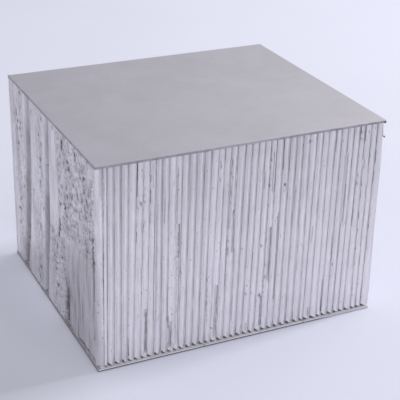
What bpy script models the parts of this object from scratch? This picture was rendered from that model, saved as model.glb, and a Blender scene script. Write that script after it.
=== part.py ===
"""Aluminium honeycomb panel: two skins bonded to a core of corrugated foil ribbons.

Units are metres and +Z is up. The origin is at the centre of the underside. X runs across the
ribbons, Y along them, from the front face at -Y to the back face at +Y, and the cells stand
along Z. Each ribbon is one strip of foil with its own wave. The saw that cut the block bent the
foil's edges over at the front and the back, and these bent edges make the fluted faces.
"""

import math

import bmesh
import bpy
from mathutils import Vector

# Overall size
PANEL_WIDTH = 0.143
PANEL_DEPTH = 0.124
PANEL_HEIGHT = 0.100

# Skins and adhesive
SKIN_THICKNESS = 0.0010
SKIN_EDGE_BEVEL = 0.00015
FILM_THICKNESS = 0.00025
FILM_INSET = 0.0015
BOND_GAP = 0.0003

# Foil core
FOIL = 0.0001
RIBBON_PITCH = 0.00328
FLUTED_RIBBONS = 43
FIRST_ROOT_FROM_LEFT = 0.00445
CORE_INSET_END = 0.0004
CORE_INSET_LEFT = 0.0003
CORE_INSET_RIGHT = 0.0006
WAVES_ALONG_RIBBON = 4

# Bent edge of a ribbon, seen from above as part of an ellipse
FLAP_DEPTH = 0.0012
FLAP_WIDTH = 0.0030
FIRST_FLAP_WIDTH = 0.0022
FLAP_SWEEP = math.radians(160)
FLAP_SEGMENTS = 5

# The adhesive holds the foil straight near the skins, so each bent edge starts a little way off
NOTCH_BOTTOM = 0.0021
NOTCH_TOP = 0.0006

# Longer tears in the bent edges of the front face, by ribbon number
TORN_TOP = {7: 0.017, 29: 0.0145, 37: 0.0085, 41: 0.0045, 42: 0.0080}
TORN_BOTTOM = {2: 0.0130, 6: 0.0120, 8: 0.0260, 12: 0.0200, 19: 0.0300, 26: 0.0200, 34: 0.0060,
               36: 0.0210}

# Outermost ribbon on the left: wide flats rubbed against the skins' edge, with narrow valleys
VALLEY_FLOOR = 0.0040
VALLEY_SLOPE = 0.0026
VALLEY_DEPTH = 0.0023
VALLEY_LEAN = 0.0070
CORNER_TURN = 0.0015

# Finishes: colour, roughness, metallic
SKIN_FINISH = ((0.42, 0.42, 0.45, 1.0), 0.42, 0.85)
FOIL_FINISH = ((0.62, 0.62, 0.68, 1.0), 0.36, 0.85)
FILM_FINISH = ((0.30, 0.27, 0.20, 1.0), 0.55, 0.0)

CORE_FRONT = -PANEL_DEPTH / 2 + CORE_INSET_END
CORE_DEPTH = PANEL_DEPTH - 2 * CORE_INSET_END
CORE_BOTTOM = SKIN_THICKNESS + 2 * BOND_GAP + FILM_THICKNESS
CORE_TOP = PANEL_HEIGHT - CORE_BOTTOM
WAVE_LENGTH = (CORE_DEPTH - 2 * FLAP_DEPTH) / WAVES_ALONG_RIBBON
WAVE_REACH = (RIBBON_PITCH - BOND_GAP - FOIL) / 2


def clear_scene():
    """Remove the objects and collections that a new file starts with."""
    for obj in list(bpy.data.objects):
        bpy.data.objects.remove(obj, do_unlink=True)
    for collection in list(bpy.data.collections):
        bpy.data.collections.remove(collection)


def make_collection(name):
    """Make a collection in the scene and return it."""
    collection = bpy.data.collections.new(name)
    bpy.context.scene.collection.children.link(collection)
    return collection


def make_material(name, finish):
    """Make a Principled material from (colour, roughness, metallic)."""
    colour, roughness, metallic = finish
    material = bpy.data.materials.new(name)
    material.use_nodes = True
    shader = material.node_tree.nodes["Principled BSDF"]
    shader.inputs["Base Color"].default_value = colour
    shader.inputs["Roughness"].default_value = roughness
    shader.inputs["Metallic"].default_value = metallic
    material.diffuse_color = colour
    return material


def add_object(name, mesh, collection, finish):
    """Link a mesh into the collection as a named object with its own material."""
    obj = bpy.data.objects.new(name, mesh)
    collection.objects.link(obj)
    mesh.materials.append(make_material(name + "_finish", finish))
    return obj


def make_plate(name, width, depth, thickness, bottom, collection, finish):
    """Make a flat rectangular sheet centred on the origin, with its underside at bottom."""
    bm = bmesh.new()
    bmesh.ops.create_cube(bm, size=1.0)
    bmesh.ops.scale(bm, vec=Vector((width, depth, thickness)), verts=bm.verts)
    mesh = bpy.data.meshes.new(name)
    bm.to_mesh(mesh)
    bm.free()
    plate = add_object(name, mesh, collection, finish)
    plate.location.z = bottom + thickness / 2
    return plate


def make_skin(name, bottom, collection):
    """Make one outer skin, with its cut edges slightly broken."""
    skin = make_plate(name, PANEL_WIDTH, PANEL_DEPTH, SKIN_THICKNESS, bottom, collection,
                      SKIN_FINISH)
    bevel = skin.modifiers.new("broken_edges", "BEVEL")
    bevel.width = SKIN_EDGE_BEVEL
    bevel.segments = 2
    return skin


def make_film(name, bottom, collection):
    """Make one sheet of adhesive, which stops short of the skins' edges."""
    return make_plate(name, PANEL_WIDTH - 2 * FILM_INSET, PANEL_DEPTH - 2 * FILM_INSET,
                      FILM_THICKNESS, bottom, collection, FILM_FINISH)


def flat_length():
    """Length of one flat of the wave, for four equal sides in each wave length."""
    rise = 2 * WAVE_REACH
    run = WAVE_LENGTH / 2
    slope = 2 * math.atan2(rise, run)
    return run / (1 + math.cos(slope))


def wave_points(root_x, left_reach, right_reach, first_side):
    """Plan of a ribbon's wave between its bent ends, as (x, distance from the front)."""
    half_flat = flat_length() / 2
    reach = {-1: -left_reach, 1: right_reach}
    side = first_side
    points = [(root_x, FLAP_DEPTH)]
    for number in range(2 * WAVES_ALONG_RIBBON):
        middle = FLAP_DEPTH + WAVE_LENGTH * (0.25 + 0.5 * number)
        points.append((root_x + reach[side], middle - half_flat))
        points.append((root_x + reach[side], middle + half_flat))
        side = -side
    points.append((root_x, CORE_DEPTH - FLAP_DEPTH))
    return points


def flap_points(root_x, width):
    """Plan of a front edge bent over to the left, from next to the root to the free end."""
    radius = width / 2
    points = []
    for step in range(1, FLAP_SEGMENTS + 1):
        angle = FLAP_SWEEP * step / FLAP_SEGMENTS
        x = root_x - radius + radius * math.cos(angle)
        points.append((x, FLAP_DEPTH * (1 - math.sin(angle))))
    return points


def mirrored(points):
    """The same plan at the back end of a ribbon."""
    return [(x, CORE_DEPTH - distance) for x, distance in points]


def make_foil(plan):
    """Stand a plan line up as a strip of foil, and return its bmesh with its two edge loops."""
    bm = bmesh.new()
    low = [bm.verts.new((x, CORE_FRONT + distance, CORE_BOTTOM)) for x, distance in plan]
    edges = [bm.edges.new(pair) for pair in zip(low[:-1], low[1:])]
    result = bmesh.ops.extrude_edge_only(bm, edges=edges)
    risen = [item for item in result["geom"] if isinstance(item, bmesh.types.BMVert)]
    bmesh.ops.translate(bm, vec=Vector((0, 0, CORE_TOP - CORE_BOTTOM)), verts=risen)
    high = []
    for vert in low:
        high.append(next(edge.other_vert(vert) for edge in vert.link_edges
                         if edge.other_vert(vert) in risen))
    return bm, low, high


def finish_foil(name, bm, collection):
    """Turn a standing strip into a closed solid with the foil's thickness."""
    mesh = bpy.data.meshes.new(name)
    bm.to_mesh(mesh)
    bm.free()
    ribbon = add_object(name, mesh, collection, FOIL_FINISH)
    solidify = ribbon.modifiers.new("foil_thickness", "SOLIDIFY")
    solidify.thickness = FOIL
    solidify.offset = 0
    solidify.use_even_offset = True
    return ribbon


def cut_back(flap, amount):
    """Slope the end of a bent edge, from nothing at its root to amount at its free end."""
    for step, vert in enumerate(flap, start=1):
        vert.co.z += amount * step / len(flap)


def make_fluted_ribbon(number, collection):
    """Make a ribbon that shows as one flute of the front and back faces."""
    root_x = -PANEL_WIDTH / 2 + FIRST_ROOT_FROM_LEFT + (number - 2) * RIBBON_PITCH
    left_reach = WAVE_REACH
    right_reach = WAVE_REACH
    width = FLAP_WIDTH
    if number == 2:
        width = FIRST_FLAP_WIDTH
        valley_bottom = -PANEL_WIDTH / 2 + CORE_INSET_LEFT + FOIL / 2 + VALLEY_DEPTH
        left_reach = root_x - (valley_bottom + BOND_GAP + FOIL)
    if number == FLUTED_RIBBONS + 1:
        right_reach = PANEL_WIDTH / 2 - CORE_INSET_RIGHT - FOIL / 2 - root_x
    first_side = -1 if number % 2 == 0 else 1
    flap = flap_points(root_x, width)
    plan = list(reversed(flap))
    plan += wave_points(root_x, left_reach, right_reach, first_side)
    plan += mirrored(flap)
    bm, low, high = make_foil(plan)
    front_low = list(reversed(low[:FLAP_SEGMENTS]))
    front_high = list(reversed(high[:FLAP_SEGMENTS]))
    cut_back(front_low, TORN_BOTTOM.get(number, NOTCH_BOTTOM))
    cut_back(front_high, -TORN_TOP.get(number, NOTCH_TOP))
    cut_back(low[-FLAP_SEGMENTS:], NOTCH_BOTTOM)
    cut_back(high[-FLAP_SEGMENTS:], -NOTCH_TOP)
    return finish_foil(f"ribbon_{number:02d}", bm, collection)


def make_outer_ribbon(collection):
    """Make the ribbon of the left face, with narrow leaning valleys between wide flats."""
    outer_x = -PANEL_WIDTH / 2 + CORE_INSET_LEFT + FOIL / 2
    plan = [(outer_x + CORNER_TURN, 0.0), (outer_x, 0.0)]
    half_opening = VALLEY_FLOOR / 2 + VALLEY_SLOPE
    for number in range(WAVES_ALONG_RIBBON):
        middle = FLAP_DEPTH + WAVE_LENGTH * (0.25 + number)
        plan.append((outer_x, middle - half_opening))
        plan.append((outer_x + VALLEY_DEPTH, middle - VALLEY_FLOOR / 2))
        plan.append((outer_x + VALLEY_DEPTH, middle + VALLEY_FLOOR / 2))
        plan.append((outer_x, middle + half_opening))
    plan += [(outer_x, CORE_DEPTH), (outer_x + CORNER_TURN, CORE_DEPTH)]
    bm, low, high = make_foil(plan)
    first_valley = 6
    for vert in low[first_valley:-2]:
        vert.co.y += VALLEY_LEAN / 2
    for vert in high[first_valley:-2]:
        vert.co.y -= VALLEY_LEAN / 2
    return finish_foil("ribbon_01", bm, collection)


def build_panel():
    """Build every piece of the panel."""
    clear_scene()
    panel = make_collection("honeycomb_panel")
    make_skin("bottom_skin", 0.0, panel)
    make_film("bottom_adhesive_film", SKIN_THICKNESS + BOND_GAP, panel)
    make_outer_ribbon(panel)
    for number in range(2, FLUTED_RIBBONS + 2):
        make_fluted_ribbon(number, panel)
    make_film("top_adhesive_film", CORE_TOP + BOND_GAP, panel)
    make_skin("top_skin", PANEL_HEIGHT - SKIN_THICKNESS, panel)


build_panel()
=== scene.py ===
"""Looks of the aluminium honeycomb panel: foil core, skins, glue lines, studio and camera.

Lengths are metres in the frame's axes: X runs across the ribbons, Y from the front face to the back
face, and Z up. Heights and places in the lists of marks are millimetres, with the suffix of their
class saying so. A share across a flute is 0 at the free edge of the bent foil and 1 at its root.
"""

import logging
import math
import random
from collections.abc import Callable
from dataclasses import dataclass, replace
from enum import Enum

import bmesh
import bpy
from mathutils import Matrix, Vector, noise


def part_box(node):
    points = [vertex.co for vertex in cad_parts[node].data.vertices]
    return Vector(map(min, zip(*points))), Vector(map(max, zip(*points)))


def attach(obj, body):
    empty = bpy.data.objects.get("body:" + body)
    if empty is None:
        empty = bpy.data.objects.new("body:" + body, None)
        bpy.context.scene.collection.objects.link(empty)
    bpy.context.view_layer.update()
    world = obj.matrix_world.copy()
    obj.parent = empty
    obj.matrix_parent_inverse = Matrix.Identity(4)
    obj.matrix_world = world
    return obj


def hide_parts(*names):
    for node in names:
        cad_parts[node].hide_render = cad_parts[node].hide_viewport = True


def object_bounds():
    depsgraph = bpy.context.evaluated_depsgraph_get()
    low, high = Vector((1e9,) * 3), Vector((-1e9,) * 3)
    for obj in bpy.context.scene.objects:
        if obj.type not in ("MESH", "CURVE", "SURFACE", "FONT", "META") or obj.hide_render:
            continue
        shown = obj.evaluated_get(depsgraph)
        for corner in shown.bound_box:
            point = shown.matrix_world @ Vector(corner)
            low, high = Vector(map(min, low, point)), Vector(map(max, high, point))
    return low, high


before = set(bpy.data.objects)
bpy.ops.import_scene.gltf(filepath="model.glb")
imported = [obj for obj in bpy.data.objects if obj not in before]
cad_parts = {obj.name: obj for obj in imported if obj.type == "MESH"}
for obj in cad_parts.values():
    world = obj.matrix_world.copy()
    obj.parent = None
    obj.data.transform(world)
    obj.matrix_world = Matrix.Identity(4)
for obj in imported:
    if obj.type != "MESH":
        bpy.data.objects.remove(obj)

LOG = logging.getLogger("honeycomb_panel")
CAD_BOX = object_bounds()
BODY = "root"
MM = 0.001

# Foil. Its corrugated ribbons stand a gap apart
FOIL = 0.10 * MM
HALF_GAP = 0.15 * MM
FLUTED_RIBBONS = range(2, 45)
WAVES_ALONG_RIBBON = 4
# Vertex attribute. On the foil it holds painted shade in creases, valleys, pits and recesses and inside the
# core, with some darker tone. On a skin's edge it marks the rubbed stretch.
SHADE_AND_WEAR = "shade_and_wear"

# Depths of the valleys between the flutes and of a crushed flute, behind the face's plane
DEEP_VALLEY = 1.15 * MM
SHALLOW_VALLEY = 0.62 * MM
CORNER_VALLEY = 0.60 * MM
LAST_VALLEY = 0.40 * MM
FLATTENED = 0.40 * MM

# A flute: its free edge stands less deep than its valley and laps over the flute before it
EDGE_RISE = 0.18 * MM
CROWN_PLACE = 0.37
OVERLAP = 0.12 * MM
LAP = 0.9 * MM
LAP_DEPTH = 0.06 * MM

# How far the foil stands into the glue: the waves at top and foot, and the bent ends at both
GLUE_GRIP = 0.12 * MM
GLUE_FOOT = 0.65 * MM
END_REACH = 0.76 * MM

# Width of the outer foil's turn, at the front's bottom and top, and at the back
CORNER_TURN_MM = (2.9, 3.75)
BACK_TURN_MM = 1.5

# Scales of the patterns in the finishes, per metre
FOIL_CLOUDS = 70.0
FOIL_FLECKS = (1300.0, 1300.0, 520.0)
SHEET_FLECKS = (480.0, 480.0, 480.0)

# The front flutes that are crushed flat under the top skin: ribbons and heights from none to full
CRUSHED_FROM = (17.2, 18.8)
CRUSHED_TO = (28.0, 26.0)
CRUSHED_HEIGHT_MM = (90.5, 94.5)

# Angles above which an edge stays sharp or is bevelled
FOIL_SHARP = math.radians(48)
SHEET_SHARP = math.radians(40)
BEVEL_ABOVE = math.radians(60)

# How far the grid of a sheet is crowded towards its edges, from 0 to 1
EDGE_CROWDING = 0.75

# How far the front flutes have drifted to the right: ribbon, then mm at the bottom and at the top.
# The last flute's foot has drifted less.
END_FOOT_MM = 0.45
DRIFT_MM = (
    (2, 0.8, 1.7), (4, 0.95, 1.5), (6, 0.1, 1.8), (8, 0.0, 1.4), (10, 0.5, 0.75), (13, -0.5, 0.1),
    (16, -0.1, 0.95), (18, -1.0, 0.9), (21, -0.5, 0.4), (22, -0.5, 1.1), (25, -0.55, 0.9), (27, -0.4, 0.15),
    (30, 0.2, 0.7), (32, 1.0, 0.8), (33, -0.1, 1.0), (35, 0.8, 0.5), (36, 0.15, 0.9), (38, 0.5, 1.0),
    (40, 0.0, 0.75), (41, 0.6, 0.1), (43, -0.1, 0.35), (44, 0.1, -0.5),
)

Colour = tuple[float, float, float]
Placed = tuple[Vector, float]


class Slot(Enum):
    """Material slots of the record."""

    SKIN = "skin"
    FOIL = "foil"
    ADHESIVE = "adhesive"


class Side(Enum):
    """Which way a bent edge faces, as the sign of its outward Y."""

    FRONT = -1
    BACK = 1


def smooth(low: float, high: float, value: float) -> float:
    """Ease from 0 at low to 1 at high. A low above high turns the ease round."""
    share = min(1.0, max(0.0, (value - low) / (high - low)))
    return share * share * (3.0 - 2.0 * share)


def band(low: float, high: float, soft: float, value: float) -> float:
    """Return 1 from low to high, easing to 0 over the soft length outside each end."""
    return smooth(low - soft, low, value) * smooth(high + soft, high, value)


def mix(low: float, high: float, share: float) -> float:
    """Return the value that lies at a share of the way from low to high."""
    return low + (high - low) * share


def wander(across: float, along: float, seed: float) -> float:
    """Return smooth noise from about -1 to 1 at a place on a surface."""
    return noise.noise(Vector((across, along, seed * 7.31)))


@dataclass(frozen=True)
class CoreLayout:
    """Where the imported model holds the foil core."""

    left: float
    right: float
    front: float
    back: float
    bottom: float
    top: float
    first_root: float
    pitch: float
    reach: float

    @classmethod
    def from_frame(cls) -> "CoreLayout":
        """Read the core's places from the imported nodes.

        Returns:
            The layout, with foil faces given at the middle of the foil.
        """
        outer_low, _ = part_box("ribbon_01")
        third_low, third_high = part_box("ribbon_03")
        far_low, far_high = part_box("ribbon_43")
        _, last_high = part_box("ribbon_44")
        pitch = (far_high.x - third_high.x) / (43 - 3)
        reach = (pitch - FOIL) / 2 - HALF_GAP
        return cls(
            left=outer_low.x + FOIL / 2,
            right=last_high.x - FOIL / 2,
            front=third_low.y + FOIL / 2,
            back=third_high.y - FOIL / 2,
            bottom=third_low.z,
            top=third_high.z,
            first_root=third_high.x - FOIL / 2 - reach - pitch,
            pitch=pitch,
            reach=reach,
        )

    def root(self, number: int) -> float:
        """Return the X of the line where ribbon number turns into its flute."""
        return self.first_root + (number - 2) * self.pitch

    def drift(self, number: int, height: float) -> float:
        """Return how far ribbon number's front edge has moved to the right at a height."""
        share = (height - self.bottom) / (self.top - self.bottom)
        for before, after in zip(DRIFT_MM, DRIFT_MM[1:]):
            if before[0] <= number <= after[0]:
                along = (number - before[0]) / (after[0] - before[0])
                low = mix(before[1], after[1], along)
                high = mix(before[2], after[2], along)
                if number == DRIFT_MM[-1][0]:
                    low = mix(END_FOOT_MM, low, smooth(0.22, 0.45, share))
                    share = smooth(0.80, 0.98, share)
                return mix(low, high, share) * MM
        return 0.0

    def line(self, number: int, height: float, side: Side) -> float:
        """Return the X of the line between flute number and the next one at a height.

        Args:
            number: The ribbon's number, where 1 is the outer foil that turns round the corner.
            height: Height above the underside.
            side: The face, of which only the front has drifted.

        Returns:
            X in metres.
        """
        share = (height - self.bottom) / (self.top - self.bottom)
        if number == 1:
            return self.left + (mix(*CORNER_TURN_MM, share) if side is Side.FRONT else BACK_TURN_MM) * MM
        root = self.root(number)
        return root + self.drift(number, height) if side is Side.FRONT else root


class Graph:
    """A node tree that is being filled in."""

    def __init__(self, tree: bpy.types.NodeTree) -> None:
        """Start from an empty tree."""
        self.tree = tree
        tree.nodes.clear()

    def add(self, kind: str, **settings: object) -> bpy.types.Node:
        """Add a node.

        Args:
            kind: Blender's identifier of the node.
            **settings: Properties to set on it.

        Returns:
            The node.
        """
        node = self.tree.nodes.new(kind)
        for name, value in settings.items():
            setattr(node, name, value)
        return node

    def join(self, source: object, target: bpy.types.NodeSocket) -> None:
        """Feed a socket from another socket, or set its value from a number, tuple or colour."""
        if isinstance(source, bpy.types.NodeSocket):
            self.tree.links.new(source, target)
        else:
            target.default_value = source

    def feed(self, node: bpy.types.Node, *sources: object) -> bpy.types.Node:
        """Feed a node's sockets in order and return the node."""
        for socket, source in zip(node.inputs, sources):
            self.join(source, socket)
        return node

    def fill(self, node: bpy.types.Node, **sources: object) -> bpy.types.Node:
        """Feed a node's sockets by name, with _ for a space, and return the node."""
        for name, source in sources.items():
            self.join(source, node.inputs[name.replace("_", " ")])
        return node

    def group(self, tree: bpy.types.NodeTree, **sources: object) -> bpy.types.NodeSocket:
        """Place a node group, feed its inputs by name and return its value."""
        return self.fill(self.add("ShaderNodeGroup", node_tree=tree), **sources).outputs[0]

    def maths(self, operation: str, first: object, second: object) -> bpy.types.NodeSocket:
        """Combine two values with a clamped Math node and return its output."""
        node = self.add("ShaderNodeMath", operation=operation, use_clamp=True)
        return self.feed(node, first, second).outputs[0]

    def vectors(self, operation: str, *sources: object) -> bpy.types.Node:
        """Combine places with a Vector Math node and return the node."""
        return self.feed(self.add("ShaderNodeVectorMath", operation=operation), *sources)

    def ramp(self, source: object, low: float, high: float, to_low: float, to_high: float
             ) -> bpy.types.NodeSocket:
        """Ease a value between low and high into a value between to_low and to_high."""
        node = self.add("ShaderNodeMapRange", interpolation_type="SMOOTHSTEP")
        return self.feed(node, source, low, high, to_low, to_high).outputs["Result"]

    def weighted(self, *parts: tuple[bpy.types.NodeSocket, float]) -> bpy.types.NodeSocket:
        """Add up values times their weights.

        Args:
            *parts: Each value with its weight.

        Returns:
            The clamped sum.
        """
        total, *rest = [self.maths("MULTIPLY", value, weight) for value, weight in parts]
        for part in rest:
            total = self.maths("ADD", total, part)
        return total

    def scaled_noise(self, given: bpy.types.Node, **values: float) -> bpy.types.NodeSocket:
        """Return noise at a group's Position times its Scale, with the values for its other sockets."""
        place = self.vectors("MULTIPLY", given.outputs["Position"], given.outputs["Scale"]).outputs[0]
        return self.fill(self.add("ShaderNodeTexNoise"), Vector=place, Scale=1.0, **values).outputs["Fac"]

    def blend(self, share: object, first: object, second: object) -> bpy.types.NodeSocket:
        """Mix two colours by a share and return the colour."""
        node = self.add("ShaderNodeMix", data_type="RGBA")
        for number, source in ((0, share), (6, first), (7, second)):
            self.join(source, node.inputs[number])
        return node.outputs[2]

    def show(self, shader: bpy.types.Node, kind: str) -> None:
        """Lead a shader to the output of a material or a world, whose node is of a kind."""
        self.join(shader.outputs[0], self.add(kind).inputs["Surface"])


def new_material(name: str) -> tuple[bpy.types.Material, Graph, bpy.types.NodeSocket]:
    """Make an empty material.

    Args:
        name: Name of the material.

    Returns:
        The material, its graph and its Object coordinates.
    """
    made = bpy.data.materials.new(name)
    made.use_nodes = True
    graph = Graph(made.node_tree)
    return made, graph, graph.add("ShaderNodeTexCoord").outputs["Object"]


def new_object(name: str, data: bpy.types.ID) -> bpy.types.Object:
    """Make an object of a mesh, a lamp or a camera, at the origin, and put it in the scene."""
    made = bpy.data.objects.new(name, data)
    bpy.context.scene.collection.objects.link(made)
    return made


def full(colour: Colour) -> tuple[float, float, float, float]:
    """Return a colour with its alpha of 1."""
    return (*colour, 1.0)


def scaled(colour: Colour, share: float) -> Colour:
    """Return a colour with each part multiplied by a share."""
    return tuple(share * part for part in colour)


def new_group(name: str, inputs: dict[str, str], output: str) -> tuple[Graph, bpy.types.Node, bpy.types.Node]:
    """Make a shader node group with one value as its output.

    Args:
        name: Name of the group.
        inputs: Kind of socket, Vector or Float, by its name.
        output: Name of the value that it puts out.

    Returns:
        The graph, its input node and its output node.
    """
    tree = bpy.data.node_groups.new(name, "ShaderNodeTree")
    for label, kind in inputs.items():
        tree.interface.new_socket(name=label, in_out="INPUT", socket_type="NodeSocket" + kind)
    tree.interface.new_socket(name=output, in_out="OUTPUT", socket_type="NodeSocketFloat")
    graph = Graph(tree)
    return graph, graph.add("NodeGroupInput"), graph.add("NodeGroupOutput")


class Effects:
    """The node groups that the finishes share."""

    def __init__(self) -> None:
        """Build each group once: rolled grain, the clouds of handled metal, and flecks."""
        self.grain = self.make_tone(
            "rolled_grain", "Shade", "Vector", (0.28, 0.72), Detail=4.0, Roughness=0.6)
        self.clouds = self.make_tone(
            "cloudy_tone", "Tone", "Float", (0.30, 0.70), Detail=3.0, Roughness=0.5, Distortion=0.6)
        self.flecks = self.make_flecks()

    @staticmethod
    def make_tone(name: str, output: str, scale: str, limits: tuple[float, float], **values: float
                  ) -> bpy.types.NodeTree:
        """Make a tone from stretched noise.

        Args:
            name: Name of the group.
            output: Name of the value that it puts out, from 0 to 1.
            scale: Kind of its Scale socket: Vector for a scale of each axis, or Float.
            limits: Noise that becomes 0, and noise that becomes 1.
            **values: Values of the noise node's sockets.

        Returns:
            The group.
        """
        graph, given, result = new_group(name, {"Position": "Vector", "Scale": scale}, output)
        noisy = graph.scaled_noise(given, **values)
        graph.join(graph.ramp(noisy, *limits, 0.0, 1.0), result.inputs[output])
        return graph.tree

    @staticmethod
    def make_flecks() -> bpy.types.NodeTree:
        """Make scattered flecks, such as saw dust and pits, stretched by a scale for each axis.

        Returns:
            The group, which puts out Mask from 0 to 1.
        """
        graph, given, result = new_group(
            "scattered_flecks", {"Position": "Vector", "Scale": "Vector", "Cover": "Float"}, "Mask")
        threshold = graph.maths("SUBTRACT", 0.80, given.outputs["Cover"])
        above = graph.maths("SUBTRACT", graph.scaled_noise(given, Detail=2.0), threshold)
        graph.join(graph.ramp(above, 0.0, 0.06, 0.0, 1.0), result.inputs["Mask"])
        return graph.tree


@dataclass(frozen=True)
class Finish:
    """What the panel's finishes share: two tones of metal, flecks and a fine relief."""

    name: str
    light: Colour
    dull: Colour
    roughness: tuple[float, float]
    metallic: float
    fleck_cover: float
    relief: float

    def surface(self, graph: Graph, colour: bpy.types.NodeSocket, tone: bpy.types.NodeSocket,
                height: bpy.types.NodeSocket, strength: float) -> None:
        """Add the metal itself, which is smoother where its tone is light.

        Args:
            graph: The material's graph.
            colour: Its colour.
            tone: Its tone, from 0 where it is dull to 1 where it is light.
            height: Its fine relief, from 0 to 1.
            strength: How strongly the relief shows.
        """
        smoothest, roughest = self.roughness
        bump = graph.fill(
            graph.add("ShaderNodeBump"), Distance=self.relief, Strength=strength, Height=height)
        shader = graph.fill(
            graph.add("ShaderNodeBsdfPrincipled"), Base_Color=colour, Metallic=self.metallic,
            Roughness=graph.ramp(tone, 0.0, 1.0, roughest, smoothest), Normal=bump.outputs["Normal"])
        graph.show(shader, "ShaderNodeOutputMaterial")


@dataclass(frozen=True)
class FoilFinish(Finish):
    """Thin aluminium foil, streaked by the saw and flecked, with painted shade in its creases and hollows."""

    shade_and_wear: Colour
    streaks_per_metre: float
    cloud_share: float

    def material(self, effects: Effects) -> bpy.types.Material:
        """Make the material.

        Args:
            effects: The shared node groups.

        Returns:
            A material that reads Object coordinates and the grime attribute.
        """
        made, graph, place = new_material(self.name)
        across = self.streaks_per_metre
        streaks = graph.group(effects.grain, Position=place, Scale=(across, across, across / 28))
        fine_scale = (across * 1.5, across * 1.5, across / 6)
        fine = graph.group(effects.grain, Position=place, Scale=fine_scale)
        clouds = graph.group(effects.clouds, Position=place, Scale=FOIL_CLOUDS)
        flecks = graph.group(effects.flecks, Position=place, Scale=FOIL_FLECKS, Cover=self.fleck_cover)
        broken = graph.blend(0.45, streaks, fine)
        worn = graph.weighted((broken, 1.0 - self.cloud_share), (clouds, self.cloud_share))
        # Painted shade from the vertex attribute, together with the flecks, darkens the metal towards the
        # dark colour.
        shade_and_soil = graph.add("ShaderNodeAttribute", attribute_name=SHADE_AND_WEAR).outputs["Fac"]
        shade_and_dirt = graph.maths("MAXIMUM", shade_and_soil, graph.maths("MULTIPLY", flecks, 0.55))
        metal = graph.blend(worn, full(self.dull), full(self.light))
        height = graph.weighted((streaks, 0.7), (fine, 0.3))
        self.surface(graph, graph.blend(shade_and_dirt, metal, full(self.shade_and_wear)), worn, height, 0.8)
        return made


@dataclass(frozen=True)
class SheetFinish(Finish):
    """Sheet metal or set adhesive: a cloudy tone under a fine grain.

    A sheared edge is torn and dark up to its fracture height: the fracture zone with painted contact shadow.
    At the left edge, which is in shade, the dark band is taller as painted shade. A rubbed colour shows where
    the vertex attribute marks the edge as rubbed.
    """

    spot: Colour
    cloud_scale: float
    grain_scale: tuple[float, float, float]
    fracture_and_shade_top: float = 0.0
    fracture_and_shade_left: float = 0.0
    rubbed: Colour | None = None

    def material(self, effects: Effects) -> bpy.types.Material:
        """Make the material.

        Args:
            effects: The shared node groups.

        Returns:
            A material that reads Object coordinates, and the grime attribute where an edge is rubbed.
        """
        made, graph, place = new_material(self.name)
        grain = graph.group(effects.grain, Position=place, Scale=self.grain_scale)
        clouds = graph.group(effects.clouds, Position=place, Scale=self.cloud_scale)
        small_clouds = graph.group(effects.clouds, Position=place, Scale=self.cloud_scale * 3.7)
        flecks = graph.group(effects.flecks, Position=place, Scale=SHEET_FLECKS, Cover=self.fleck_cover)
        tone = graph.weighted((clouds, 0.55), (small_clouds, 0.25), (grain, 0.20))
        sheet = graph.blend(tone, full(self.dull), full(self.light))
        marked = graph.blend(graph.maths("MULTIPLY", flecks, 0.5), sheet, full(self.spot))
        # Dark band low on a sheared edge: its fracture zone with painted contact shadow, taller at the left
        # edge as painted shade.
        if self.fracture_and_shade_top > 0.0:
            split = graph.feed(graph.add("ShaderNodeSeparateXYZ"), place)
            left = CAD_BOX[0].x
            reach = graph.ramp(split.outputs["X"], left + 0.2 * MM, left + 0.4 * MM,
                               self.fracture_and_shade_left, self.fracture_and_shade_top)
            torn = graph.ramp(graph.maths("DIVIDE", split.outputs["Z"], reach), 0.7, 1.0, 1.0, 0.0)
            marked = graph.blend(torn, marked, full(self.spot))
        if self.rubbed is not None:
            worn = graph.add("ShaderNodeAttribute", attribute_name=SHADE_AND_WEAR).outputs["Fac"]
            marked = graph.blend(worn, marked, full(self.rubbed))
        self.surface(graph, marked, tone, grain, 0.6)
        return made


# In each foil finish, the colour given after dull is the dark that painted shade and flecks mix towards.
FLUTE_FINISH = FoilFinish(
    name="flute_foil", light=(0.98, 0.96, 0.98), dull=(0.75, 0.73, 0.77), shade_and_wear=(0.20, 0.19, 0.21),
    roughness=(0.34, 0.46), metallic=0.72, streaks_per_metre=1100.0, cloud_share=0.15,
    fleck_cover=0.13, relief=0.06 * MM)
FACE_FINISH = FoilFinish(
    name="torn_face_foil", light=(0.97, 0.95, 0.97), dull=(0.72, 0.70, 0.74), shade_and_wear=(0.20, 0.17, 0.18),
    roughness=(0.24, 0.40), metallic=0.80, streaks_per_metre=800.0, cloud_share=0.25,
    fleck_cover=0.15, relief=0.12 * MM)
SKIN_FINISH = SheetFinish(
    name="mill_finish_skin", light=(0.545, 0.53, 0.575), dull=(0.485, 0.47, 0.51),
    spot=(0.63, 0.61, 0.66), roughness=(0.38, 0.46), metallic=0.92, cloud_scale=22.0,
    grain_scale=(160.0, 2400.0, 2400.0), fleck_cover=0.14, relief=0.012 * MM)
# The top skin's cut edge is far darker than the bottom's: a sheared edge's dull tone with painted shade of
# the gap beneath the top skin.
TOP_EDGE_FINISH = SheetFinish(
    name="top_sheared_edge", light=(0.50, 0.48, 0.52), dull=(0.33, 0.32, 0.35), spot=(0.20, 0.19, 0.21),
    roughness=(0.45, 0.60), metallic=0.85, cloud_scale=160.0, grain_scale=(900.0, 900.0, 5000.0),
    fleck_cover=0.16, relief=0.03 * MM, rubbed=(0.50, 0.48, 0.52))
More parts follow.
